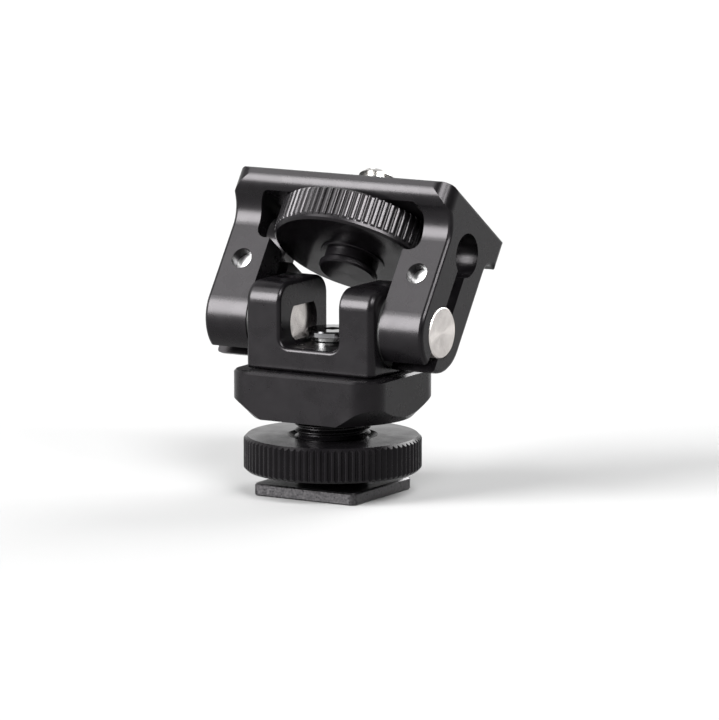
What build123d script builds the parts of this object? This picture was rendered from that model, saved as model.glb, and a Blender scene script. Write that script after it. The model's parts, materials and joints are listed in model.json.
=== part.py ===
"""Tilting shoe bracket: a panning fork on a shoe foot, with a tilting head and a thumb-wheel stud."""

import math
import os

from build123d import *

os.makedirs("parts", exist_ok=True)

# All sizes are in millimetres. Z is up, X runs along the tilt pins and -Y is the front.
# The origin is the centre of the shoe foot's underside.

# ---- Driving dimensions -------------------------------------------------------------------

# Shoe foot, stud and lock ring
foot_width = 18.6
foot_length = 18.0
foot_thickness = 2.0
foot_corner = 1.0
rail_gap = 1.8
stud_radius = 6.0
spigot_radius = 5.0
spigot_length = 3.0
foot_screw_radius = 1.25
foot_screw_head_radius = 2.4
foot_screw_length = 6.0
foot_screw_offset = 3.1
ring_radius = 14.05
ring_height = 5.5
ring_top_bevel = 0.55
ring_bottom_bevel = 0.5
ring_countersink_radius = 7.15
ring_pad_inner = 7.6
ring_pad_outer = 12.9
ring_pad_thickness = 0.9
ring_pad_proud = 0.1
running_gap = 0.05

# Base block
base_width = 27.0
base_depth = 21.4
base_height = 7.35
base_corner = 4.2
base_underside_radius = 12.7
base_edge = 0.35
base_bottom_z = 12.55

# Pan joint
pan_screw_radius = 2.5
pan_screw_depth = 4.4
pan_head_radius = 4.2
pan_head_height = 0.95
pan_washer_radius = 6.5
pan_washer_thickness = 0.3
pan_gap = 0.1
spring_radius = 3.3
spring_thickness = 0.5
spring_count = 2

# Fork
fork_width = 23.2
fork_depth = 14.8
fork_height = 13.7
fork_slot = 10.6
fork_floor = 3.7
fork_slot_corner = 1.6
ear_top_radius = 3.2
fork_outer_edge = 1.1
fork_slot_edge = 0.6
fork_foot_edge = 0.3

# Tilt pins and their set screws
pin_height = 7.0
pin_radius = 4.04
pin_flat = 2.65
pin_recess = 1.0
pin_proud = 0.1
pin_edge = 0.2
set_screw_radius = 1.5
set_screw_length = 3.0
tilt_washer_outer = 6.2
tilt_washer_thickness = 0.45

# Tilting head, in its own directions: "across" is X, "depth" runs front to back, "rise" is up
tilt_angle = 35.0
head_width = 39.6
arm_gap = 24.3
arm_half_depth = 6.4
bar_reach = 10.87
bar_blend_start = 12.65
bar_blend_radius = 5.0
bar_nose_radius = 3.0
platform_top = 21.0
platform_back = 10.1
flange_underside = 16.2
flange_blend_radius = 2.4
plan_corner_front = 3.2
plan_corner_back = 1.6
head_edge = 0.6
head_edge_steps = 3
platform_edge = 0.4
window_width = 29.7
window_floor = 10.8
window_top = 17.5
window_corner = 1.8
slit_width = 2.5
keyhole_radius = 3.5
keyhole_rise = 13.6

# Clamp screws across the slit of each arm
clamp_rise = 6.85
clamp_thread_radius = 1.75
clamp_clearance_radius = 2.1
clamp_head_radius = 3.0
clamp_head_height = 2.2
clamp_counterbore_radius = 3.15
clamp_counterbore_depth = 2.4
clamp_tip_recess = 2.0
clamp_thread_gap = 0.03

# Thumb wheel and tripod screw
wheel_depth_offset = -0.5
wheel_radius = 13.2
wheel_bottom = 11.45
wheel_top = 17.15
wheel_bevel = 0.4
hub_radius = 4.75
hub_bottom = 8.4
hub_collar_radius = 5.2
hub_collar_height = 0.3
hub_edge = 0.3
screw_shank_radius = 3.0
screw_thread_radius = 3.175
screw_reach = 4.8
screw_blind_floor = 9.4
screw_hole_radius = 3.3
screw_tip_bevel = 0.6
clip_radius = 5.2
clip_thickness = 0.5
clip_recess_radius = 5.6
clip_gap = 0.05
clip_recess_depth = 0.6

# Platform pad
pad_width = 37.2
pad_depth = 18.8
pad_corner = 2.0
pad_thickness = 0.8
pad_proud = 0.3
pad_hole_radius = 4.0

# ---- Levels and planes worked out from the above ------------------------------------------

ring_bottom_z = foot_thickness + rail_gap
ring_top_z = ring_bottom_z + ring_height
base_top_z = base_bottom_z + base_height
fork_bottom_z = base_top_z + pan_gap
fork_floor_z = fork_bottom_z + fork_floor
fork_top_z = fork_bottom_z + fork_height
pin_z = fork_bottom_z + pin_height

fork_side = fork_width / 2
arm_inner = arm_gap / 2
arm_outer = head_width / 2
arm_middle = (arm_inner + arm_outer) / 2
ear_middle = (fork_slot / 2 + fork_side) / 2

tilt = math.radians(tilt_angle)
rise_dir = Vector(0, math.sin(tilt), math.cos(tilt))
depth_dir = Vector(0, math.cos(tilt), -math.sin(tilt))
pin_axis_point = Vector(0, 0, pin_z)

pad_recess_depth = pad_thickness - pad_proud
cut_depth = platform_back + platform_top

# The tilting head is drawn on three planes through the pin axis.
plan_plane = Plane(origin=pin_axis_point, x_dir=(1, 0, 0), z_dir=rise_dir)
side_plane = Plane(origin=pin_axis_point, x_dir=depth_dir, z_dir=(1, 0, 0))
front_plane = Plane(origin=pin_axis_point, x_dir=(1, 0, 0), z_dir=depth_dir * -1)
wheel_plane = plan_plane.shift_origin(pin_axis_point + depth_dir * wheel_depth_offset)


def save(part, label):
    """Label a finished piece and write it as its own STEP file."""
    part.label = label
    export_step(part, f"parts/{label}.step")


def lowest_along(faces, direction):
    """The face whose centre lies lowest along a direction."""
    return min(faces, key=lambda f: Vector(f.center()).dot(direction))


def is_slot_wall(point):
    """True for a point on a wall, corner or floor of the fork's slot."""
    return abs(point.X) < fork_slot / 2 + 0.01 and point.Z > fork_floor_z - 0.01


# ---- Shoe foot and its two countersunk screws ---------------------------------------------

foot_screw_places = [(0, -foot_screw_offset), (0, foot_screw_offset)]

with BuildPart() as shoe_foot:
    with BuildSketch(Plane.XY):
        RectangleRounded(foot_width, foot_length, foot_corner)
    extrude(amount=foot_thickness)
    chamfer(shoe_foot.faces().sort_by(Axis.Z)[-1].edges(), 0.25)
    chamfer(shoe_foot.faces().sort_by(Axis.Z)[0].edges(), 0.25)
    with Locations(shoe_foot.faces().sort_by(Axis.Z)[0]):
        with Locations(*foot_screw_places):
            CounterSinkHole(foot_screw_radius, foot_screw_head_radius, foot_thickness)
save(shoe_foot.part, "shoe_foot")

with BuildPart() as foot_screws:
    head_height = foot_screw_head_radius - foot_screw_radius
    for x, y in foot_screw_places:
        with BuildSketch(Plane.XY):
            with Locations((x, y)):
                Circle(foot_screw_head_radius)
        extrude(amount=head_height, taper=45)
        with BuildSketch(Plane.XY):
            with Locations((x, y)):
                Circle(foot_screw_radius)
        extrude(amount=foot_screw_length)
        with BuildSketch(Plane.XY):
            with Locations((x, y)):
                RegularPolygon(0.75, 6)
        extrude(amount=0.9, mode=Mode.SUBTRACT)
save(foot_screws.part, "foot_screws")

# ---- Threaded stud ------------------------------------------------------------------------

with BuildPart() as threaded_stud:
    with BuildSketch(Plane.XY.offset(foot_thickness)):
        Circle(stud_radius)
    extrude(amount=base_bottom_z - foot_thickness)
    with BuildSketch(Plane.XY.offset(base_bottom_z)):
        Circle(spigot_radius)
    extrude(amount=spigot_length)
    with BuildSketch(Plane.XY.offset(foot_thickness)):
        with Locations(*foot_screw_places):
            Circle(foot_screw_radius)
    extrude(amount=foot_screw_length - foot_thickness, mode=Mode.SUBTRACT)
save(threaded_stud.part, "threaded_stud")

# ---- Lock ring and the pad under it --------------------------------------------------------

ring_bore = stud_radius + running_gap
countersink_depth = ring_countersink_radius - ring_bore
pad_recess = ring_pad_thickness - ring_pad_proud

with BuildPart() as lock_ring:
    with BuildSketch(Plane.XZ):
        with BuildLine():
            Polyline(
                (ring_bore, ring_bottom_z),
                (ring_pad_inner, ring_bottom_z),
                (ring_pad_inner, ring_bottom_z + pad_recess),
                (ring_pad_outer, ring_bottom_z + pad_recess),
                (ring_pad_outer, ring_bottom_z),
                (ring_radius - ring_bottom_bevel, ring_bottom_z),
                (ring_radius, ring_bottom_z + ring_bottom_bevel),
                (ring_radius, ring_top_z - ring_top_bevel),
                (ring_radius - ring_top_bevel, ring_top_z),
                (ring_countersink_radius, ring_top_z),
                (ring_bore, ring_top_z - countersink_depth),
                close=True,
            )
        make_face()
    revolve(axis=Axis.Z)
save(lock_ring.part, "lock_ring")

with BuildPart() as ring_pad:
    with BuildSketch(Plane.XY.offset(ring_bottom_z - ring_pad_proud)):
        Circle(ring_pad_outer - running_gap)
        Circle(ring_pad_inner + running_gap, mode=Mode.SUBTRACT)
    extrude(amount=ring_pad_thickness - running_gap)
save(ring_pad.part, "ring_pad")

# ---- Base block ---------------------------------------------------------------------------

with BuildPart() as base_block:
    with BuildSketch(Plane.XY.offset(base_bottom_z)):
        RectangleRounded(base_width, base_depth, base_corner)
    extrude(amount=base_height)
    chamfer(base_block.faces().sort_by(Axis.Z)[-1].edges(), base_edge)
    # The underside is turned to a 45 degree cone about the stud.
    with BuildSketch(Plane.XZ):
        with BuildLine():
            Polyline(
                (0, base_bottom_z),
                (base_underside_radius, base_bottom_z),
                (base_underside_radius + base_height, base_top_z),
                (0, base_top_z),
                close=True,
            )
        make_face()
    revolve(axis=Axis.Z, mode=Mode.INTERSECT)
    with BuildSketch(Plane.XY.offset(base_bottom_z)):
        Circle(spigot_radius)
    extrude(amount=spigot_length, mode=Mode.SUBTRACT)
    with BuildSketch(Plane.XY.offset(base_top_z)):
        Circle(pan_washer_radius)
    extrude(amount=pan_gap - pan_washer_thickness, mode=Mode.SUBTRACT)
    with BuildSketch(Plane.XY.offset(base_bottom_z)):
        Circle(pan_screw_radius)
    extrude(amount=base_height, mode=Mode.SUBTRACT)
save(base_block.part, "base_block")

with BuildPart() as pan_washer:
    with BuildSketch(Plane.XY.offset(fork_bottom_z - pan_washer_thickness)):
        Circle(pan_washer_radius - running_gap)
        Circle(pan_screw_radius + running_gap, mode=Mode.SUBTRACT)
    extrude(amount=pan_washer_thickness)
save(pan_washer.part, "pan_washer")

# ---- Fork ---------------------------------------------------------------------------------

fork_side_plane = Plane.YZ.offset(-fork_side)

with BuildPart() as fork:
    with BuildSketch(fork_side_plane):
        with BuildLine():
            Polyline(
                (-fork_depth / 2, fork_bottom_z),
                (fork_depth / 2, fork_bottom_z),
                (fork_depth / 2, fork_top_z),
                (-fork_depth / 2, fork_top_z),
                close=True,
            )
        make_face()
    extrude(amount=fork_width)
    fillet(fork.edges().filter_by(Axis.X).group_by(Axis.Z)[-1], ear_top_radius)
    outer_edges = fork.faces().sort_by(Axis.X)[0].edges() + fork.faces().sort_by(Axis.X)[-1].edges()
    fillet(outer_edges.filter_by(lambda e: e.center().Z > fork_bottom_z + 0.1), fork_outer_edge)
    chamfer(fork.faces().sort_by(Axis.Z)[0].edges(), fork_foot_edge)
    with BuildSketch(Plane.XZ.offset(-fork_depth)):
        with Locations((0, fork_floor_z + fork_height / 2)):
            slot = Rectangle(fork_slot, fork_height)
        fillet(slot.vertices().group_by(Axis.Y)[0], fork_slot_corner)
    extrude(amount=2 * fork_depth, mode=Mode.SUBTRACT)
    # The slot's rim is every edge of its walls except the straight ones that run along Y inside it.
    rim = fork.faces().filter_by(lambda f: is_slot_wall(f.center())).edges().filter_by(
        lambda e: e.center().Z > fork_top_z - 0.01 or abs(e.center().Y) > fork_depth / 2 - ear_top_radius
    )
    fillet(rim, fork_slot_edge)
    # Double-D holes for the pins, one through each ear.
    with BuildSketch(Plane.YZ.offset(-fork_side)):
        with Locations((0, pin_z)):
            Circle(pin_radius + 0.01)
            Rectangle(3 * pin_radius, 2 * pin_flat + 0.02, mode=Mode.INTERSECT)
    extrude(amount=fork_width, mode=Mode.SUBTRACT)
    # Set screw holes down to the pins' flats, and the pan screw's hole.
    with BuildSketch(Plane.XY.offset(fork_top_z)):
        with Locations((-ear_middle, 0), (ear_middle, 0)):
            Circle(set_screw_radius)
    extrude(amount=-(fork_top_z - pin_z), mode=Mode.SUBTRACT)
    with BuildSketch(Plane.XY.offset(fork_bottom_z)):
        Circle(pan_screw_radius + running_gap)
    extrude(amount=fork_floor, mode=Mode.SUBTRACT)
save(fork.part, "fork")

# ---- Pan screw and disc springs -----------------------------------------------------------

spring_stack = spring_count * spring_thickness * 1.5
pan_head_z = fork_floor_z + spring_stack

with BuildPart() as pan_screw:
    with BuildSketch(Plane.XY.offset(fork_bottom_z - pan_screw_depth)):
        Circle(pan_screw_radius)
    extrude(amount=pan_screw_depth + fork_floor + spring_stack)
    with BuildSketch(Plane.XY.offset(pan_head_z)):
        Circle(pan_head_radius)
    extrude(amount=pan_head_height)
    chamfer(pan_screw.faces().sort_by(Axis.Z)[-1].edges(), 0.25)
    with BuildSketch(Plane.XY.offset(pan_head_z + pan_head_height)):
        RegularPolygon(1.45, 6)
    extrude(amount=-1.6, mode=Mode.SUBTRACT)
save(pan_screw.part, "pan_screw")

with BuildPart() as disc_springs:
    for i in range(spring_count):
        bottom = fork_floor_z + i * spring_stack / spring_count + 0.02
        with BuildSketch(Plane.XZ):
            with BuildLine():
                Polyline(
                    (pan_screw_radius + running_gap, bottom + spring_thickness / 2),
                    (spring_radius, bottom),
                    (spring_radius, bottom + spring_thickness),
                    (pan_screw_radius + running_gap, bottom + spring_thickness * 1.4),
                    close=True,
                )
            make_face()
        revolve(axis=Axis.Z)
save(disc_springs.part, "disc_springs")

# ---- Tilt pins, set screws and washers ----------------------------------------------------

for side, name in ((-1, "left"), (1, "right")):
    outward = Plane(origin=(0, 0, pin_z), x_dir=(0, 1, 0), z_dir=(side, 0, 0))
    shoulder = fork_side
    pin_end = arm_outer + pin_proud
    with BuildPart() as pivot_pin:
        with BuildSketch(outward.offset(fork_slot / 2 + pin_recess)):
            Circle(pin_radius)
            Rectangle(3 * pin_radius, 2 * pin_flat, mode=Mode.INTERSECT)
        extrude(amount=shoulder - fork_slot / 2 - pin_recess)
        with BuildSketch(outward.offset(shoulder)):
            Circle(pin_radius)
        extrude(amount=pin_end - shoulder)
        chamfer(pivot_pin.faces().sort_by(Axis.X)[-1 if side > 0 else 0].edges(), pin_edge)
    save(pivot_pin.part, f"pivot_pin_{name}")

    with BuildPart() as tilt_washer:
        with BuildSketch(outward.offset(fork_side + running_gap)):
            Circle(tilt_washer_outer)
            Circle(pin_radius + running_gap, mode=Mode.SUBTRACT)
        extrude(amount=tilt_washer_thickness)
    save(tilt_washer.part, f"tilt_washer_{name}")

with BuildPart() as pin_set_screws:
    with BuildSketch(Plane.XY.offset(pin_z + pin_flat)):
        with Locations((-ear_middle, 0), (ear_middle, 0)):
            Circle(set_screw_radius)
    extrude(amount=set_screw_length)
    with BuildSketch(Plane.XY.offset(pin_z + pin_flat + set_screw_length)):
        with Locations((-ear_middle, 0), (ear_middle, 0)):
            RegularPolygon(0.85, 6)
    extrude(amount=-1.4, mode=Mode.SUBTRACT)
save(pin_set_screws.part, "pin_set_screws")

# ---- Tilting head -------------------------------------------------------------------------

# The arm's front runs up through a concave blend and a convex nose into the bar's front.
blend_centre = Vector(-arm_half_depth - bar_blend_radius, bar_blend_start)
blend_span = bar_blend_radius + bar_nose_radius
blend = math.acos((arm_half_depth + blend_span - bar_reach) / blend_span)
blend_way = Vector(math.cos(blend), math.sin(blend))
nose_centre = blend_centre + blend_way * blend_span
bar_front = -bar_reach
flange_blend_centre = Vector(
    arm_half_depth + flange_blend_radius, flange_underside - flange_blend_radius
)


def head_outline(plane, inset):
    """The head's side outline, drawn smaller by an even inset for the softened edges."""
    front = -arm_half_depth + inset
    back = arm_half_depth - inset
    top = platform_top - inset
    flange_back = platform_back - inset
    flange_bottom = flange_underside + inset
    concave = bar_blend_radius + inset
    nose = bar_nose_radius - inset
    flange_concave = flange_blend_radius + inset
    blend_end = blend_centre + blend_way * concave
    nose_end = (bar_front + inset, nose_centre.Y)
    flange_start = (flange_blend_centre.X, flange_bottom)
    flange_end = (back, flange_blend_centre.Y)
    with BuildSketch(plane) as outline:
        with BuildLine():
            ThreePointArc((back, 0), (0, front), (front, 0))
            Line((front, 0), (front, bar_blend_start))
            RadiusArc((front, bar_blend_start), blend_end, -concave)
            RadiusArc(blend_end, nose_end, nose)
            Polyline(
                nose_end,
                (bar_front + inset, top - platform_edge),
                (bar_front + inset + platform_edge, top),
                (flange_back - platform_edge, top),
                (flange_back, top - platform_edge),
                (flange_back, flange_bottom + platform_edge),
                (flange_back - platform_edge, flange_bottom),
                flange_start,
            )
            RadiusArc(flange_start, flange_end, -flange_concave)
            Line(flange_end, (back, 0))
        make_face()
    return outline.sketch


with BuildPart() as tilt_frame:
    # A slab with the full outline, and side edges rounded in short bevels.
    slab_side = arm_outer - head_edge
    extrude(head_outline(side_plane.offset(-slab_side), 0), amount=2 * slab_side)
    bends = [math.radians(90 * step / head_edge_steps) for step in range(head_edge_steps + 1)]
    for side in (-1, 1):
        outlines = [
            head_outline(
                side_plane.offset(side * (slab_side + head_edge * math.sin(bend))),
                head_edge * (1 - math.cos(bend)),
            )
            for bend in bends
        ]
        for inner_outline, outer_outline in zip(outlines, outlines[1:]):
            loft(sections=[inner_outline, outer_outline], ruled=True)
    # Rounded corners in plan. They run out into the bar's blend as a V.
    with BuildSketch(plan_plane.offset(-2 * arm_half_depth)):
        for radius, edge, inward in (
            (plan_corner_front, bar_front, 1),
            (plan_corner_back, platform_back, -1),
        ):
            centres = [(side * (arm_outer - radius), edge + inward * radius) for side in (-1, 1)]
            for side, centre in zip((-1, 1), centres):
                with Locations(centre):
                    Rectangle(
                        2 * radius,
                        2 * radius,
                        align=(Align.MIN if side > 0 else Align.MAX, Align.MAX if inward > 0 else Align.MIN),
                    )
                    Circle(radius, mode=Mode.SUBTRACT)
    extrude(amount=2 * arm_half_depth + platform_top + 1, mode=Mode.SUBTRACT)
    # The space between the arms, and the wider window for the wheel above it.
    with BuildSketch(front_plane.offset(-cut_depth)):
        with Locations((0, (window_floor - 2 * arm_half_depth) / 2)):
            Rectangle(arm_gap, window_floor + 2 * arm_half_depth)
        with Locations((0, (window_floor + window_top) / 2)):
            window = Rectangle(window_width, window_top - window_floor)
        fillet(window.vertices(), window_corner)
    extrude(amount=2 * cut_depth, mode=Mode.SUBTRACT)
    # Pin bores and slits run through both arms, and a keyhole ends each slit.
    with BuildSketch(side_plane.offset(-arm_outer)):
        Circle(pin_radius + running_gap)
        with Locations((0, (keyhole_rise - 2 * arm_half_depth) / 2)):
            Rectangle(slit_width, keyhole_rise + 2 * arm_half_depth)
        with Locations((0, keyhole_rise)):
            Circle(keyhole_radius)
    extrude(amount=head_width, mode=Mode.SUBTRACT)
    # Clamp screw holes: threaded in the front leaf, plain and counterbored in the back leaf.
    clamp_places = [(-arm_middle, clamp_rise), (arm_middle, clamp_rise)]
    with BuildSketch(front_plane):
        with Locations(*clamp_places):
            Circle(clamp_thread_radius)
    extrude(amount=arm_half_depth, mode=Mode.SUBTRACT)
    with BuildSketch(front_plane.offset(-arm_half_depth)):
        with Locations(*clamp_places):
            Circle(clamp_clearance_radius)
    extrude(amount=arm_half_depth, mode=Mode.SUBTRACT)
    with BuildSketch(front_plane.offset(-arm_half_depth)):
        with Locations(*clamp_places):
            Circle(clamp_counterbore_radius)
    extrude(amount=clamp_counterbore_depth, mode=Mode.SUBTRACT)
    # Pad recess, clip recess and the tripod screw's hole in the platform.
    with BuildSketch(wheel_plane.offset(platform_top)):
        RectangleRounded(pad_width, pad_depth, pad_corner)
    extrude(amount=-pad_recess_depth, mode=Mode.SUBTRACT)
    with BuildSketch(wheel_plane.offset(platform_top - pad_recess_depth)):
        Circle(clip_recess_radius)
    extrude(amount=-clip_recess_depth, mode=Mode.SUBTRACT)
    with BuildSketch(wheel_plane.offset(window_top)):
        Circle(screw_hole_radius)
    extrude(amount=platform_top - window_top, mode=Mode.SUBTRACT)
save(tilt_frame.part, "tilt_frame")

with BuildPart() as platform_pad:
    with BuildSketch(wheel_plane.offset(platform_top - pad_recess_depth)):
        RectangleRounded(pad_width - 0.1, pad_depth - 0.1, pad_corner)
        Circle(pad_hole_radius, mode=Mode.SUBTRACT)
    extrude(amount=pad_thickness)
save(platform_pad.part, "platform_pad")

# ---- Clamp screws -------------------------------------------------------------------------

clamp_head_seat = arm_half_depth - clamp_counterbore_depth
clamp_tip = arm_half_depth - clamp_tip_recess

for side, name in ((-1, "left"), (1, "right")):
    centre = pin_axis_point + Vector(side * arm_middle, 0, 0) + rise_dir * clamp_rise
    forward = Plane(origin=centre, x_dir=(1, 0, 0), z_dir=depth_dir * -1)
    with BuildPart() as clamp_screw:
        with BuildSketch(forward.offset(-clamp_head_seat)):
            Circle(clamp_thread_radius - clamp_thread_gap)
        extrude(amount=clamp_head_seat + clamp_tip)
        with BuildSketch(forward.offset(-clamp_head_seat)):
            Circle(clamp_head_radius)
        extrude(amount=-clamp_head_height)
        with BuildSketch(forward.offset(-clamp_head_seat - clamp_head_height)):
            RegularPolygon(1.45, 6)
        extrude(amount=1.4, mode=Mode.SUBTRACT)
    save(clamp_screw.part, f"clamp_screw_{name}")

# ---- Thumb wheel, tripod screw and its clip -----------------------------------------------

with BuildPart() as thumb_wheel:
    with BuildSketch(wheel_plane.offset(wheel_bottom)):
        Circle(wheel_radius)
    extrude(amount=wheel_top - wheel_bottom)
    chamfer(thumb_wheel.edges(), wheel_bevel)
    with BuildSketch(wheel_plane.offset(wheel_bottom)):
        Circle(hub_collar_radius)
    extrude(amount=-hub_collar_height)
    with BuildSketch(wheel_plane.offset(hub_bottom)):
        Circle(hub_radius)
    extrude(amount=wheel_bottom - hub_bottom)
    chamfer(lowest_along(thumb_wheel.faces(), rise_dir).edges(), hub_edge)
    with BuildSketch(wheel_plane.offset(screw_blind_floor)):
        Circle(screw_shank_radius)
    extrude(amount=wheel_top - screw_blind_floor, mode=Mode.SUBTRACT)
save(thumb_wheel.part, "thumb_wheel")

with BuildPart() as tripod_screw:
    with BuildSketch(wheel_plane.offset(screw_blind_floor)):
        Circle(screw_shank_radius)
    extrude(amount=platform_top + pad_proud - screw_blind_floor)
    with BuildSketch(wheel_plane.offset(platform_top + pad_proud)):
        Circle(screw_thread_radius)
    extrude(amount=screw_reach)
    chamfer(lowest_along(tripod_screw.faces(), rise_dir * -1).edges(), screw_tip_bevel)
save(tripod_screw.part, "tripod_screw")

with BuildPart() as retaining_clip:
    with BuildSketch(wheel_plane.offset(platform_top - pad_recess_depth - clip_recess_depth + clip_gap)):
        Circle(clip_radius)
        Circle(screw_shank_radius, mode=Mode.SUBTRACT)
    extrude(amount=clip_thickness)
save(retaining_clip.part, "retaining_clip")
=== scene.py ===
"""Looks for the tilting shoe bracket: real knurls and threads, finishes, light and camera."""

import json
import math

import bmesh
import bpy
from mathutils import Matrix, Vector


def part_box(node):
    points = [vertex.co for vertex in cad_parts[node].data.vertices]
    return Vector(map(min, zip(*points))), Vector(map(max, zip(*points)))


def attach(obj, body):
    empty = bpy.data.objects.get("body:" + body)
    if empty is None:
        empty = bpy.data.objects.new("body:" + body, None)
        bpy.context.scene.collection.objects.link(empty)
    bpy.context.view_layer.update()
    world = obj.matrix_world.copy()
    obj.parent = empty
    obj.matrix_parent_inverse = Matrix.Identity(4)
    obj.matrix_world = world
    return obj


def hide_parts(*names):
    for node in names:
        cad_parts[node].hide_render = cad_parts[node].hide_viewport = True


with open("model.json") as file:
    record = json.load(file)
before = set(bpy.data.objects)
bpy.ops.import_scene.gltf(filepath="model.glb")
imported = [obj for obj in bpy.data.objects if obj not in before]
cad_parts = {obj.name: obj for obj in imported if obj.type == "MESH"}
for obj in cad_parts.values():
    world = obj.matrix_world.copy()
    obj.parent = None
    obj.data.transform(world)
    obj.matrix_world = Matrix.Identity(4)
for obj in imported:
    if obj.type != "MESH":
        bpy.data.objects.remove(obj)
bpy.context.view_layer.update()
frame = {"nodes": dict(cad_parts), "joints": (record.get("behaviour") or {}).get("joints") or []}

MM = 0.001
NODES = frame["nodes"]
JOINTS = {joint["name"]: joint for joint in frame["joints"]}

# ---- Camera: the photograph's angle -------------------------------------------------------

VIEW_AZIMUTH = math.radians(30.6)
VIEW_ELEVATION = math.radians(9.28)
VIEW_DISTANCE = 0.996
VIEW_AIM = Vector((0.00353, 0.00231, 0.02107))
LENS_MM = 316.8
NEAREST = 0.01
FARTHEST = 100

to_camera = Vector((
    math.sin(VIEW_AZIMUTH) * math.cos(VIEW_ELEVATION),
    -math.cos(VIEW_AZIMUTH) * math.cos(VIEW_ELEVATION),
    math.sin(VIEW_ELEVATION),
))


def make_camera():
    data = bpy.data.cameras.new("camera")
    data.lens = LENS_MM
    data.clip_start = NEAREST
    data.clip_end = FARTHEST
    camera = bpy.data.objects.new("camera", data)
    camera.location = VIEW_AIM + to_camera * VIEW_DISTANCE
    camera.rotation_mode = "QUATERNION"
    camera.rotation_quaternion = (-to_camera).to_track_quat("-Z", "Y")
    bpy.context.scene.collection.objects.link(camera)
    bpy.context.scene.camera = camera


# ---- Node helpers for the materials --------------------------------------------------------

# The ranges and ramps read only this stretch of 0 to 1. A noise seldom leaves it, and a wave is
# clipped to it.
NOISE_LOW = 0.3
NOISE_HIGH = 0.7


class Finish:
    """A Principled material with its nodes wired by short calls."""

    def __init__(self, name, **sockets):
        self.material = bpy.data.materials.new(name)
        self.material.use_nodes = True
        self.tree = self.material.node_tree
        self.shader = self.tree.nodes["Principled BSDF"]
        for socket, value in sockets.items():
            self.shader.inputs[socket.replace("_", " ")].default_value = value
        self.coordinates = self.node("ShaderNodeTexCoord").outputs["Object"]

    def node(self, kind, **settings):
        made = self.tree.nodes.new(kind)
        for key, value in settings.items():
            setattr(made, key, value)
        return made

    def link(self, source, target):
        self.tree.links.new(source, target)

    def noise(self, size, detail=2.0):
        """Noise whose grains are about size metres across."""
        mapping = self.node("ShaderNodeMapping")
        mapping.inputs["Scale"].default_value = Vector((1, 1, 1)) / size
        texture = self.node("ShaderNodeTexNoise")
        texture.inputs["Scale"].default_value = 1.0
        texture.inputs["Detail"].default_value = detail
        self.link(self.coordinates, mapping.inputs["Vector"])
        self.link(mapping.outputs["Vector"], texture.inputs["Vector"])
        return texture.outputs["Fac"]

    def span(self, value, low, high):
        """The stretch from NOISE_LOW to NOISE_HIGH carried onto low to high."""
        ranged = self.node("ShaderNodeMapRange")
        ranged.inputs["From Min"].default_value = NOISE_LOW
        ranged.inputs["From Max"].default_value = NOISE_HIGH
        ranged.inputs["To Min"].default_value = low
        ranged.inputs["To Max"].default_value = high
        self.link(value, ranged.inputs["Value"])
        return ranged.outputs["Result"]

    def colour(self, value, dark, light):
        """The base colour runs from dark to light with the value."""
        ramp = self.node("ShaderNodeValToRGB")
        ramp.color_ramp.elements[0].position = NOISE_LOW
        ramp.color_ramp.elements[1].position = NOISE_HIGH
        ramp.color_ramp.elements[0].color = (*dark, 1)
        ramp.color_ramp.elements[1].color = (*light, 1)
        self.link(value, ramp.inputs["Fac"])
        self.link(ramp.outputs["Color"], self.shader.inputs["Base Color"])

    def roughness(self, value, low, high):
        """The roughness runs from low to high with the value."""
        self.link(self.span(value, low, high), self.shader.inputs["Roughness"])

    def bump(self, value, height):
        """The surface rises by a height in metres with the value."""
        bump = self.node("ShaderNodeBump")
        bump.inputs["Strength"].default_value = 1.0
        bump.inputs["Distance"].default_value = height
        self.link(value, bump.inputs["Height"])
        self.link(bump.outputs["Normal"], self.shader.inputs["Normal"])

    def rings(self, centre, size):
        """Circles round an X axis through a centre.

        The wave texture repeats 20 / (2 pi) times a unit, so they lie 0.31 of size apart.
        """
        mapping = self.node("ShaderNodeMapping")
        mapping.inputs["Location"].default_value = -Vector(centre) / size
        mapping.inputs["Scale"].default_value = Vector((1, 1, 1)) / size
        wave = self.node("ShaderNodeTexWave", wave_type="RINGS", rings_direction="X")
        wave.inputs["Scale"].default_value = 1.0
        wave.inputs["Distortion"].default_value = 0.6
        self.link(self.coordinates, mapping.inputs["Vector"])
        self.link(mapping.outputs["Vector"], wave.inputs["Vector"])
        return wave.outputs["Fac"]

    def turned(self, axis, amount):
        """Lathe lines round an axis spread the gloss into a bow tie."""
        self.shader.inputs["Anisotropic"].default_value = amount
        tangent = self.node("ShaderNodeTangent", direction_type="RADIAL", axis=axis)
        self.link(tangent.outputs["Tangent"], self.shader.inputs["Tangent"])


def anodised_finish(name, rough=0.28, blast=0.0011, level=0.15):
    """Bead-blasted and black anodised aluminium: a fine even grain and a satin gloss.

    blast is the grain's height in millimetres, and level the strength of the gloss.
    """
    finish = Finish(name, Specular_IOR_Level=level, Specular_Tint=(1.0, 0.955, 0.99, 1.0))
    cloud = finish.noise(3.0 * MM, detail=3.0)
    grain = finish.noise(0.16 * MM, detail=2.0)
    finish.colour(cloud, (0.0018, 0.0016, 0.0019), (0.0030, 0.0027, 0.0031))
    finish.roughness(cloud, rough - 0.03, rough + 0.03)
    finish.bump(grain, blast * MM)
    return finish


def turned_black_finish(name, axis, level):
    """Black anodised metal straight off the lathe, with its circular tool lines."""
    finish = anodised_finish(name, rough=0.24, blast=0.0006, level=level)
    finish.turned(axis, 0.75)
    return finish


def steel_finish(name, rough=0.26, dark=(0.44, 0.43, 0.42), light=(0.60, 0.585, 0.57)):
    """Stainless steel with fine tool marks."""
    finish = Finish(name, Metallic=1.0)
    marks = finish.noise(0.50 * MM, detail=3.0)
    finish.colour(marks, dark, light)
    finish.roughness(marks, rough - 0.05, rough + 0.06)
    return finish


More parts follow.
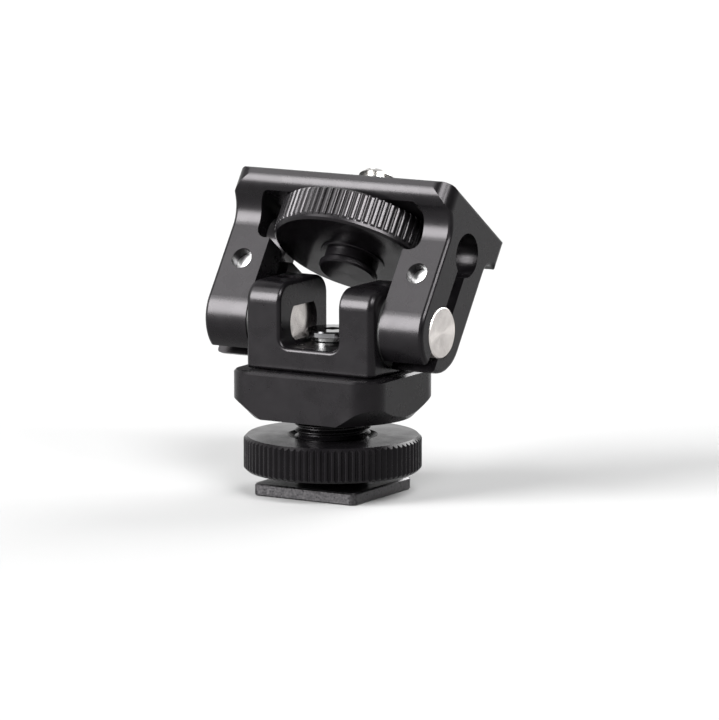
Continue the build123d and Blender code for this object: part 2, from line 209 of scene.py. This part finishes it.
def pin_finish(name, centre):
    """Faced steel pins: lathe circles, and a gloss that fans out from the centre."""
    finish = Finish(name, Metallic=1.0)
    stain = finish.noise(1.6 * MM, detail=3.0)
    circles = finish.rings(centre, 0.22 * MM)
    finish.colour(stain, (0.43, 0.405, 0.39), (0.56, 0.53, 0.51))
    finish.roughness(circles, 0.26, 0.34)
    finish.turned("X", 0.8)
    return finish


def shaded_plating_finish(name):
    """The plating of the pan screw. Its colour is toned down as painted shade, far darker than
    bright plating, for the head that lies dark down in the fork's slot.
    """
    finish = Finish(name, Metallic=1.0)
    haze = finish.noise(0.8 * MM, detail=3.0)
    # Painted shade: this dark colour range stands in for the shade on the head down in the fork's
    # slot.
    finish.colour(haze, (0.13, 0.13, 0.135), (0.21, 0.21, 0.215))
    finish.roughness(haze, 0.08, 0.14)
    finish.bump(finish.noise(0.5 * MM), 0.0015 * MM)
    return finish


def polished_finish(name):
    """Bright cut ends and heads of the clamp screws."""
    finish = Finish(name, Metallic=1.0)
    haze = finish.noise(0.8 * MM, detail=3.0)
    finish.colour(haze, (0.86, 0.86, 0.86), (0.94, 0.94, 0.94))
    finish.roughness(haze, 0.30, 0.38)
    return finish


def oxide_finish(name):
    """Black oxide on a small steel screw."""
    finish = Finish(name, Metallic=1.0)
    mottle = finish.noise(0.35 * MM, detail=4.0)
    finish.colour(mottle, (0.035, 0.034, 0.036), (0.075, 0.072, 0.074))
    finish.roughness(mottle, 0.26, 0.42)
    finish.bump(finish.noise(0.10 * MM), 0.0012 * MM)
    return finish


def rubber_finish(name):
    """Moulded black rubber, matt and slightly grainy."""
    finish = Finish(name, Specular_IOR_Level=0.35)
    cloud = finish.noise(1.6 * MM, detail=4.0)
    finish.colour(cloud, (0.012, 0.012, 0.0125), (0.026, 0.026, 0.026))
    finish.roughness(finish.noise(0.5 * MM), 0.62, 0.82)
    finish.bump(finish.noise(0.14 * MM, detail=3.0), 0.006 * MM)
    return finish


def acetal_finish(name):
    """Black acetal, as the friction washers are cut from."""
    finish = Finish(name, Specular_IOR_Level=0.45)
    cloud = finish.noise(1.2 * MM, detail=3.0)
    finish.colour(cloud, (0.013, 0.013, 0.013), (0.022, 0.022, 0.022))
    finish.roughness(finish.noise(0.6 * MM), 0.38, 0.50)
    finish.bump(finish.noise(0.20 * MM), 0.002 * MM)
    return finish


# ---- Mesh helpers --------------------------------------------------------------------------

SHARP_ANGLE = math.radians(28)
WELD = 1e-7


def piece(name, vertices, faces, finishes, body, node, slot, matrix=None):
    """A finished mesh that stands for one CAD node and rides on its body."""
    mesh = bpy.data.meshes.new(name)
    mesh.from_pydata(vertices, [], faces)
    mesh.validate()
    for finish in finishes:
        mesh.materials.append(finish.material)
    mesh.polygons.foreach_set("use_smooth", [True] * len(mesh.polygons))
    mesh.set_sharp_from_angle(angle=SHARP_ANGLE)
    made = bpy.data.objects.new(name, mesh)
    bpy.context.scene.collection.objects.link(made)
    if matrix is not None:
        made.matrix_world = matrix
    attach(made, body)
    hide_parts(node)
    return made


def turn(columns, closed_section):
    """Vertices and faces of a body swept round Z.

    Each column is (angle, [(radius, height), ...]).
    """
    rows = len(columns[0][1])
    vertices = [
        (radius * math.cos(angle), radius * math.sin(angle), height)
        for angle, section in columns
        for radius, height in section
    ]
    faces = []
    for i in range(len(columns)):
        here = i * rows
        there = (i + 1) % len(columns) * rows
        for j in range(rows if closed_section else rows - 1):
            up = (j + 1) % rows
            faces.append((here + j, there + j, there + up, here + up))
    return vertices, faces


def tooth_columns(teeth, radius, depth, crest, section):
    """Columns round a straight knurl. crest is the crest's share of the pitch.

    Half a tooth is a row of (share of the pitch from the crest's middle, share of the depth).
    """
    half_crest = crest / 2
    half_floor = 0.09
    rounding = 0.05
    rounding_depth = 0.03
    shoulder_depth = 0.12
    foot_depth = 0.93
    shape = (
        (0.0, 0.0),
        (half_crest - rounding, rounding_depth),
        (half_crest, shoulder_depth),
        (0.5 - half_floor, foot_depth),
        (0.5, 1.0),
    )
    lobes = [(-share, sunk) for share, sunk in reversed(shape[1:-1])] + list(shape)
    columns = []
    for tooth in range(teeth):
        for share, sunk in lobes:
            angle = (tooth + share) / teeth * 2 * math.pi
            columns.append((angle, section(radius - depth * sunk)))
    return columns


def axis_frame(joint_name):
    """A matrix whose Z lies on a joint's axis and whose origin is the joint's point."""
    joint = JOINTS[joint_name]
    turn_to = Vector((0, 0, 1)).rotation_difference(Vector(joint["axis"]))
    return Matrix.Translation(Vector(joint["pos_m"])) @ turn_to.to_matrix().to_4x4()


def reach(node, matrix):
    """Lowest and highest height of a node along a matrix's Z, and its largest radius about it."""
    inverse = matrix.inverted()
    points = [inverse @ vertex.co for vertex in NODES[node].data.vertices]
    heights = [point.z for point in points]
    return min(heights), max(heights), max(math.hypot(point.x, point.y) for point in points)


# One turn of a thread: (share of the pitch, share of the way from the root to the crest).
THREAD_PROFILE = ((0.0, 0.0), (0.10, 0.0), (0.42, 1.0), (0.55, 1.0), (0.90, 0.0))
THREAD_STEPS = 48


def thread(crest, root, pitch, low, high, lead=0.4):
    """Columns of a right-hand thread between two heights, and its rows per turn.

    Both ends fade down to the root over lead, a share of the pitch.
    """
    turns = int(math.ceil((high - low) / pitch)) + 2
    fade = pitch * lead
    columns = []
    for i in range(THREAD_STEPS):
        share = i / THREAD_STEPS
        section = [(0.0, low)]
        for k in range(-1, turns):
            for step, out in THREAD_PROFILE:
                height = min(max(low + (k + step + share) * pitch, low), high)
                ends = min(1.0, (height - low) / fade, (high - height) / fade)
                section.append((root + (crest - root) * out * max(0.0, ends), height))
        section.append((0.0, high))
        columns.append((share * 2 * math.pi, section))
    return columns, len(THREAD_PROFILE)


def spiral(columns, per_turn):
    """Like turn(), but the seam steps up by one turn, so that the thread runs on unbroken."""
    rows = len(columns[0][1])
    vertices = []
    for angle, section in columns:
        vertices += [(r * math.cos(angle), r * math.sin(angle), h) for r, h in section]
    faces = []
    last = len(columns) - 1
    for i in range(last):
        for j in range(rows - 1):
            here = i * rows + j
            there = here + rows
            faces.append((here, there, there + 1, here + 1))
    for j in range(rows - 1):
        here = last * rows + j
        there = min(j + per_turn, rows - 2) if j else 0
        there_up = min(j + 1 + per_turn, rows - 2) if j + 1 < rows - 1 else rows - 1
        faces.append((here, there, there_up, here + 1))
    return vertices, faces


def clean(name, vertices, faces, *rest, **more):
    """piece(), with points that lie together joined and empty faces dropped."""
    made = piece(name, vertices, faces, *rest, **more)
    work = bmesh.new()
    work.from_mesh(made.data)
    bmesh.ops.remove_doubles(work, verts=work.verts, dist=WELD)
    bmesh.ops.dissolve_degenerate(work, edges=work.edges, dist=WELD)
    bmesh.ops.recalc_face_normals(work, faces=work.faces)
    work.to_mesh(made.data)
    work.free()
    made.data.set_sharp_from_angle(angle=SHARP_ANGLE)
    return made


# ---- Detailed pieces -----------------------------------------------------------------------

RING_TEETH = 79
WHEEL_TEETH = 70
STUD_PITCH = 1.0 * MM
TRIPOD_PITCH = 1.27 * MM
SHANK_RADIUS = 3.0 * MM
PAD_INNER = 7.6 * MM
GAP = 0.05 * MM


def make_lock_ring(knurl, face):
    """The ring with its teeth, bevels, coned mouth and the recess for its rubber washer."""
    low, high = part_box("lock_ring")
    _, pad_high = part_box("ring_pad")
    _, stud_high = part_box("threaded_stud")
    bore = stud_high.x + GAP
    mouth = 7.15 * MM
    pad_outer = pad_high.x + GAP
    recess = pad_high.z
    bevel_low = 0.5 * MM
    bevel_high = 0.55 * MM
    tooth_depth = 0.36 * MM
    crest_share = 0.34
    facing_up = 0.9
    radius = high.x

    def section(rim):
        low_rim = rim - (radius - bevel_low)
        high_rim = rim - (radius - bevel_high)
        return [
            (bore, low.z),
            (PAD_INNER, low.z),
            (PAD_INNER, recess),
            (pad_outer, recess),
            (pad_outer, low.z),
            (radius - bevel_low, low.z),
            (rim, low.z + low_rim),
            (rim, high.z - high_rim),
            (radius - bevel_high, high.z),
            (mouth, high.z),
            (bore, high.z - (mouth - bore)),
        ]

    columns = tooth_columns(RING_TEETH, radius, tooth_depth, crest_share, section)
    vertices, faces = turn(columns, closed_section=True)
    made = clean("lock_ring_knurled", vertices, faces, [knurl, face], "ring", "lock_ring",
                 "black_anodised")
    for polygon in made.data.polygons:
        if polygon.normal.z > facing_up:
            polygon.material_index = 1
    return made


def make_thumb_wheel(knurl, face):
    """The wheel with its teeth, the smooth band under them, and the hub on its neck."""
    matrix = axis_frame("wheel_spin")
    low, high, radius = reach("thumb_wheel", matrix)
    band_low = low + 3.05 * MM
    band_high = band_low + 0.85 * MM
    band_bevel = 0.35 * MM
    hub = 4.75 * MM
    hub_bevel = 0.3 * MM
    hub_top = low + 0.9 * MM
    neck = 4.3 * MM
    neck_low = low + 1.35 * MM
    collar = 5.2 * MM
    bevel = 0.4 * MM
    band = radius - 0.22 * MM
    screw_end = low + 1.0 * MM
    tooth_depth = 0.34 * MM
    crest_share = 0.56

    def section(rim):
        top_rim = rim - (radius - bevel)
        return [
            (0.0, low),
            (hub - hub_bevel, low),
            (hub, low + hub_bevel),
            (hub, hub_top),
            (neck, neck_low),
            (neck, band_low - 0.35 * MM),
            (collar - 0.1 * MM, band_low - 0.3 * MM),
            (collar, band_low - 0.2 * MM),
            (collar, band_low),
            (band - band_bevel, band_low),
            (band, band_low + band_bevel),
            (band, band_high - 0.08 * MM),
            (rim, band_high + (rim - band)),
            (rim, high - top_rim),
            (radius - bevel, high),
            (SHANK_RADIUS, high),
            (SHANK_RADIUS, screw_end),
            (0.0, screw_end),
        ]

    columns = tooth_columns(WHEEL_TEETH, radius, tooth_depth, crest_share, section)
    vertices, faces = turn(columns, closed_section=False)
    made = clean("thumb_wheel_knurled", vertices, faces, [knurl, face], "wheel", "thumb_wheel",
                 "black_anodised", matrix=matrix)
    inside = band + 0.01 * MM
    points = made.data.vertices
    for polygon in made.data.polygons:
        if max(math.hypot(*points[i].co.xy) for i in polygon.vertices) < inside:
            polygon.material_index = 1
    return made


def make_threaded_stud(black):
    """The stud's thread, which ends just under the base block."""
    low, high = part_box("threaded_stud")
    base_low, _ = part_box("base_block")
    thread_depth = 0.55 * MM
    thread_end = base_low.z - 0.35 * MM
    columns, per_turn = thread(high.x, high.x - thread_depth, STUD_PITCH, low.z, thread_end)
    vertices, faces = spiral(columns, per_turn)
    return clean("stud_threaded", vertices, faces, [black], "shoe_base", "threaded_stud",
                 "black_anodised")


def make_tripod_screw(steel):
    """The tripod stud: a thread from just below the pad's face, and a plain shank under it."""
    matrix = axis_frame("wheel_spin")
    low, high, radius = reach("tripod_screw", matrix)
    seat = reach("platform_pad", matrix)[1]
    thread_depth = 0.68 * MM
    columns, per_turn = thread(radius, radius - thread_depth, TRIPOD_PITCH, seat - 1.2 * MM, high,
                               lead=0.6)
    vertices, faces = spiral(columns, per_turn)
    play = 0.02 * MM
    shank = SHANK_RADIUS - play
    base = len(vertices)
    around = 48
    for height in (low + play, seat - 1.1 * MM):
        for i in range(around):
            angle = i / around * 2 * math.pi
            vertices.append((shank * math.cos(angle), shank * math.sin(angle), height))
    for i in range(around):
        step = (i + 1) % around
        faces.append((base + i, base + step, base + around + step, base + around + i))
    faces.append(tuple(base + i for i in reversed(range(around))))
    faces.append(tuple(base + around + i for i in range(around)))
    vertices = [tuple(matrix @ Vector(vertex)) for vertex in vertices]
    return clean("tripod_screw_threaded", vertices, faces, [steel], "wheel", "tripod_screw",
                 "turned_steel")


def rounded_outline(half_x, half_y, corner, step):
    """Points round a rectangle with rounded corners, no further apart than a step."""
    arc_steps = 8
    corners = []
    for turn_deg, side_x, side_y in ((0, 1, 1), (90, -1, 1), (180, -1, -1), (270, 1, -1)):
        for i in range(arc_steps + 1):
            angle = math.radians(turn_deg + 90 * i / arc_steps)
            corners.append(Vector((
                side_x * (half_x - corner) + corner * math.cos(angle),
                side_y * (half_y - corner) + corner * math.sin(angle),
            )))
    points = []
    for here, there in zip(corners, corners[1:] + corners[:1]):
        parts = max(1, math.ceil((there - here).length / step))
        points += [here.lerp(there, i / parts) for i in range(parts)]
    return points


def pad_plate(outline, hole, low, high):
    """A flat plate with an outline and a round hole: vertices and faces."""
    count = len(outline)
    inner = [point.normalized() * hole for point in outline]
    vertices = [
        (point.x, point.y, height)
        for height in (low, high)
        for loop in (outline, inner)
        for point in loop
    ]
    faces = []
    for i in range(count):
        step = (i + 1) % count
        below, below_in, above, above_in = (k * count for k in range(4))
        faces.append((below + i, below_in + i, below_in + step, below + step))
        faces.append((above + i, above + step, above_in + step, above_in + i))
        faces.append((below + i, below + step, above + step, above + i))
        faces.append((below_in + i, above_in + i, above_in + step, below_in + step))
    return vertices, faces


def rib(start, end, middle, half_width, low, high):
    """One bar along X with sloped sides and ends: vertices and faces."""
    draft = 0.12 * MM
    vertices = []
    for height, inset in ((low, 0.0), (high, draft)):
        for x, y in ((start + inset, -1), (end - inset, -1), (end - inset, 1), (start + inset, 1)):
            vertices.append((x, middle + y * (half_width - inset), height))
    faces = [(3, 2, 1, 0), (4, 5, 6, 7)]
    faces += [(i, (i + 1) % 4, 4 + (i + 1) % 4, 4 + i) for i in range(4)]
    return vertices, faces


def make_platform_pad(rubber):
    """The pad as moulded: a thin plate with grip ribs across it and a hole for the screw."""
    matrix = axis_frame("wheel_spin")
    inverse = matrix.inverted()
    corners = [inverse @ vertex.co for vertex in NODES["platform_pad"].data.vertices]
    half_x = max(point.x for point in corners)
    half_y = max(point.y for point in corners)
    low, high, _ = reach("platform_pad", matrix)
    corner = 2.0 * MM
    hole = 4.0 * MM
    rib_height = 0.24 * MM
    rib_half = 0.40 * MM
    rib_count = 15
    rib_root = 0.03 * MM
    margin = 0.55 * MM
    plate_top = high - rib_height
    outline = rounded_outline(half_x, half_y, corner, step=1.2 * MM)
    vertices, faces = pad_plate(outline, hole, low, plate_top)
    rim = hole + margin
    for i in range(rib_count):
        middle = (i / (rib_count - 1) * 2 - 1) * (half_y - margin - rib_half)
        past = max(0.0, abs(middle) + rib_half - (half_y - corner))
        end = half_x - margin - (corner - math.sqrt(corner * corner - past * past))
        nearest = max(0.0, abs(middle) - rib_half)
        gap = math.sqrt(max(0.0, rim * rim - nearest * nearest))
        spans = [(-end, end)] if gap == 0.0 else [(-end, -gap), (gap, end)]
        for start, stop in spans:
            more, more_faces = rib(start, stop, middle, rib_half, plate_top - rib_root, high)
            base = len(vertices)
            vertices += more
            faces += [tuple(base + index for index in face) for face in more_faces]
    vertices = [tuple(matrix @ Vector(vertex)) for vertex in vertices]
    return piece("platform_pad_ribbed", vertices, faces, [rubber], "head", "platform_pad",
                 "rubber_pad")


def make_ring_pad(rubber):
    """The ring's rubber washer, with round grooves in its gripping face."""
    low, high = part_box("ring_pad")
    outer = high.x
    grooves = 3
    groove_depth = 0.12 * MM
    slope_share = 0.2
    pitch = (outer - PAD_INNER) / (2 * grooves + 1)
    section = [(PAD_INNER, high.z), (PAD_INNER, low.z)]
    for i in range(grooves):
        start = PAD_INNER + (2 * i + 1) * pitch
        section += [
            (start, low.z),
            (start + slope_share * pitch, low.z + groove_depth),
            (start + (1 - slope_share) * pitch, low.z + groove_depth),
            (start + pitch, low.z),
        ]
    section += [(outer, low.z), (outer, high.z)]
    steps = 96
    columns = [(i / steps * 2 * math.pi, section) for i in range(steps)]
    vertices, faces = turn(columns, closed_section=True)
    return clean("ring_pad_grooved", vertices, faces, [rubber], "ring_carrier", "ring_pad",
                 "rubber_pad")


# ---- Stage and light -----------------------------------------------------------------------

FLOOR_RADII = (0.2, 1.0, 8.0)

# The room's brightness on the camera's side and behind the object, and where one turns into the
# other, as the cosine of the angle from straight behind.
ROOM_FRONT = 0.06
ROOM_BACK = 0.97
ROOM_TURN_START = -0.1
ROOM_TURN_END = 0.75


def make_floor():
    """A round sheet of pale paper: a mid grey that the lights bring up to white."""
    around = 64
    vertices = [(0.0, 0.0, 0.0)]
    for radius in FLOOR_RADII:
        for i in range(around):
            angle = i / around * 2 * math.pi
            vertices.append((radius * math.cos(angle), radius * math.sin(angle), 0.0))
    faces = [(0, 1 + i, 1 + (i + 1) % around) for i in range(around)]
    for ring in range(len(FLOOR_RADII) - 1):
        start = 1 + ring * around
        for i in range(around):
            step = (i + 1) % around
            faces.append((start + i, start + around + i, start + around + step, start + step))
    mesh = bpy.data.meshes.new("floor")
    mesh.from_pydata(vertices, [], faces)
    finish = Finish("floor_paper", Specular_IOR_Level=0.2)
    cloud = finish.noise(0.05, detail=2.0)
    finish.colour(cloud, (0.219, 0.219, 0.219), (0.221, 0.221, 0.221))
    finish.roughness(cloud, 0.78, 0.80)
    mesh.materials.append(finish.material)
    floor = bpy.data.objects.new("floor", mesh)
    bpy.context.scene.collection.objects.link(floor)


def far_softbox(name, direction, spread_deg, irradiance):
    """A sun lamp with a wide disc, like a big soft box so far off that it lights evenly."""
    data = bpy.data.lights.new(name, "SUN")
    data.angle = math.radians(spread_deg)
    data.energy = irradiance
    lamp = bpy.data.objects.new(name, data)
    lamp.location = VIEW_AIM + Vector(direction)
    lamp.rotation_mode = "QUATERNION"
    lamp.rotation_quaternion = Vector(direction).to_track_quat("Z", "Y")
    bpy.context.scene.collection.objects.link(lamp)


def make_world():
    """A room fixed in the world: white behind the object from the photograph's side, else dim."""
    world = bpy.data.worlds.new("room")
    world.use_nodes = True
    tree = world.node_tree
    background = tree.nodes["Background"]
    direction = tree.nodes.new("ShaderNodeTexCoord")
    facing = tree.nodes.new("ShaderNodeVectorMath")
    facing.operation = "DOT_PRODUCT"
    facing.inputs[1].default_value = (-math.sin(VIEW_AZIMUTH), math.cos(VIEW_AZIMUTH), 0)
    ranged = tree.nodes.new("ShaderNodeMapRange")
    ranged.interpolation_type = "SMOOTHSTEP"
    ranged.inputs["From Min"].default_value = ROOM_TURN_START
    ranged.inputs["From Max"].default_value = ROOM_TURN_END
    ranged.inputs["To Min"].default_value = ROOM_FRONT
    ranged.inputs["To Max"].default_value = ROOM_BACK
    background.inputs["Color"].default_value = (1, 1, 1, 1)
    tree.links.new(direction.outputs["Generated"], facing.inputs[0])
    tree.links.new(facing.outputs["Value"], ranged.inputs["Value"])
    tree.links.new(ranged.outputs["Result"], background.inputs["Strength"])
    bpy.context.scene.world = world


def make_lights():
    """Five soft lights. Each direction points from the object to the light."""
    far_softbox("key", (-0.545, -0.740, 0.395), spread_deg=35, irradiance=13.0)
    far_softbox("upper", (-0.50, -0.40, 0.77), spread_deg=30, irradiance=1.5)
    far_softbox("front_top", (0.50, -0.44, 0.74), spread_deg=24, irradiance=5.0)
    far_softbox("right", (0.79, -0.21, 0.58), spread_deg=12, irradiance=1.8)
    far_softbox("back", (0.30, 0.80, 0.52), spread_deg=40, irradiance=4.5)


# ---- Put it together -----------------------------------------------------------------------

black = anodised_finish("black_anodised_blasted")
ring_face = turned_black_finish("black_anodised_ring_face", "Z", level=0.70)
ring_knurl = anodised_finish("black_anodised_ring_knurl", rough=0.26, level=0.10)
wheel_face = turned_black_finish("black_anodised_wheel_face", "Z", level=0.17)
wheel_knurl = anodised_finish("black_anodised_wheel_knurl", rough=0.26, level=0.32)
pin_steel = pin_finish("steel_turned_pins", JOINTS["tilt"]["pos_m"])
screw_steel = polished_finish("steel_polished")
thread_steel = steel_finish("steel_threads", rough=0.22)
spring_steel = steel_finish("steel_springs", rough=0.24, dark=(0.13, 0.13, 0.13),
                            light=(0.20, 0.20, 0.20))
plating_painted_shade = shaded_plating_finish("pan_screw_head_painted_shade")
oxide = oxide_finish("black_oxide")
rubber = rubber_finish("rubber")
acetal = acetal_finish("acetal_black")

FINISHES = {
    "shoe_foot": oxide,
    "foot_screws": oxide,
    "base_block": black,
    "pan_washer": acetal,
    "fork": black,
    "pan_screw": plating_painted_shade,
    "disc_springs": spring_steel,
    "pivot_pin_left": pin_steel,
    "pivot_pin_right": pin_steel,
    "pin_set_screws": oxide,
    "tilt_washer_left": acetal,
    "tilt_washer_right": acetal,
    "tilt_frame": black,
    "clamp_screw_left": screw_steel,
    "clamp_screw_right": screw_steel,
    "retaining_clip": spring_steel,
}

for node_name, finish in FINISHES.items():
    materials = NODES[node_name].data.materials
    materials.clear()
    materials.append(finish.material)

make_camera()
make_lock_ring(ring_knurl, ring_face)
make_thumb_wheel(wheel_knurl, wheel_face)
make_threaded_stud(black)
make_tripod_screw(thread_steel)
make_platform_pad(rubber)
make_ring_pad(rubber)
make_floor()
make_world()
make_lights()

view = bpy.context.scene.view_settings
view.view_transform = "Standard"
view.look = "None"
